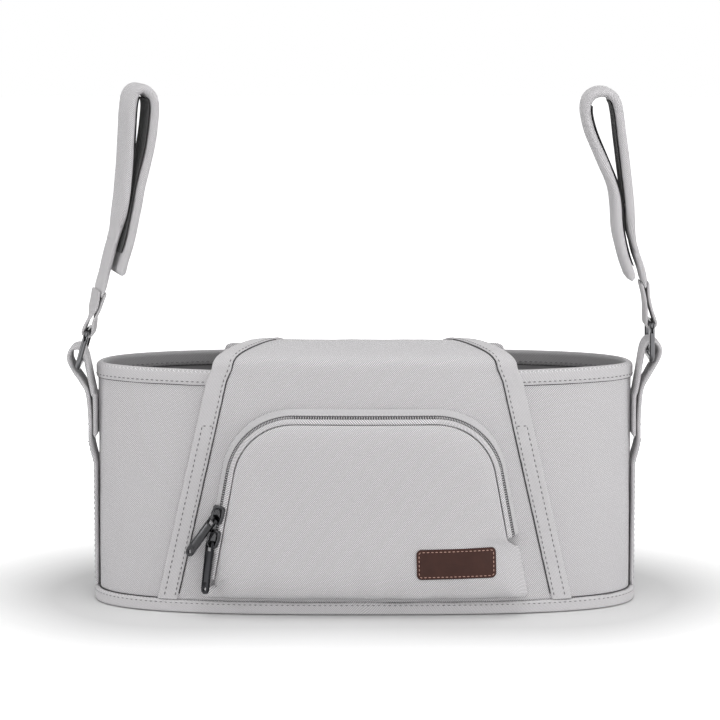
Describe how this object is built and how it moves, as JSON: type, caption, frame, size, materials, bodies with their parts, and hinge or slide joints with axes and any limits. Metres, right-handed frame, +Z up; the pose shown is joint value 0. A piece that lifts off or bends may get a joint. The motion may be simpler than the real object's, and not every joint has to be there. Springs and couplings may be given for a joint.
{
  "type": "stroller organizer",
  "caption": "Soft fabric console bag with cup pockets, a folded flap with a domed zip pocket, and padded hook-and-loop straps on rings for hanging from a pushchair's handlebar.",
  "frame": {"origin": "middle of the base's underside", "axes": "+X along the bag's length towards its right end, -Y the front with the zip pocket, +Z up"},
  "size_m": [0.406, 0.1488, 0.3521],
  "materials": {
    "fabric": "fine twill weave",
    "trim": "woven tape",
    "lining": "matte lining",
    "leather": "grained, stitched",
    "metal": "polished gunmetal",
    "hooks": "hook-and-loop nap"
  },
  "bodies": {
    "body": {"front_wall": "fabric", "back_wall": "fabric", "base_panel": "lining", "rim_binding": "trim", "hem_binding": "trim", "left_divider": "lining", "right_divider": "lining", "flap": "fabric", "flap_binding_left": "trim", "flap_binding_right": "trim", "back_tab": "fabric", "zip_tape": "trim", "zip_chain": "trim", "zip_facing": "fabric", "pocket_front": "fabric", "leather_label": "leather", "left_tab": "trim", "right_tab": "trim"},
    "left_ring": {"left_ring": "metal"},
    "left_strap": {"left_strap": "fabric", "left_loop_tape": "hooks", "left_hook_tape": "hooks", "left_webbing": "trim"},
    "right_ring": {"right_ring": "metal"},
    "right_strap": {"right_strap": "fabric", "right_loop_tape": "hooks", "right_hook_tape": "hooks", "right_webbing": "trim"},
    "upper_slider": {"upper_slider": "metal"},
    "upper_pull": {"upper_pull": "metal"},
    "lower_slider": {"lower_slider": "metal"},
    "lower_pull": {"lower_pull": "metal"}
  },
  "joints": [
    {"name": "left_ring_swing", "type": "hinge", "parent": "body", "child": "left_ring", "pos_m": [-0.1953, 0, 0.1605], "axis": [0, 1, 0], "range_deg": [-95, 20]},
    {"name": "left_strap_swing", "type": "hinge", "parent": "left_ring", "child": "left_strap", "pos_m": [-0.18841, 0, 0.18453], "axis": [0, 1, 0], "range_deg": [-45, 30]},
    {"name": "right_ring_swing", "type": "hinge", "parent": "body", "child": "right_ring", "pos_m": [0.1953, 0, 0.1655], "axis": [0, 1, 0], "range_deg": [-35, 95]},
    {"name": "right_strap_swing", "type": "hinge", "parent": "right_ring", "child": "right_strap", "pos_m": [0.19486, 0, 0.1905], "axis": [0, 1, 0], "range_deg": [-30, 45]},
    {"name": "upper_slider_slide", "type": "slide", "parent": "body", "child": "upper_slider", "axis": [0.1824, 0.0487, 0.982], "range_m": [0, 0.022]},
    {"name": "upper_pull_lift", "type": "hinge", "parent": "upper_slider", "child": "upper_pull", "pos_m": [-0.1, -0.06975, 0.06796], "axis": [-0.4573, 0.6778, 0.5758], "range_deg": [0, 111]},
    {"name": "lower_slider_slide", "type": "slide", "parent": "body", "child": "lower_slider", "axis": [0.1824, 0.0487, 0.982], "range_m": [-0.012, 0]},
    {"name": "lower_pull_lift", "type": "hinge", "parent": "lower_slider", "child": "lower_pull", "pos_m": [-0.10298, -0.07051, 0.05196], "axis": [-0.6605, 0.7498, -0.0386], "range_deg": [0, 145]}
  ]
}
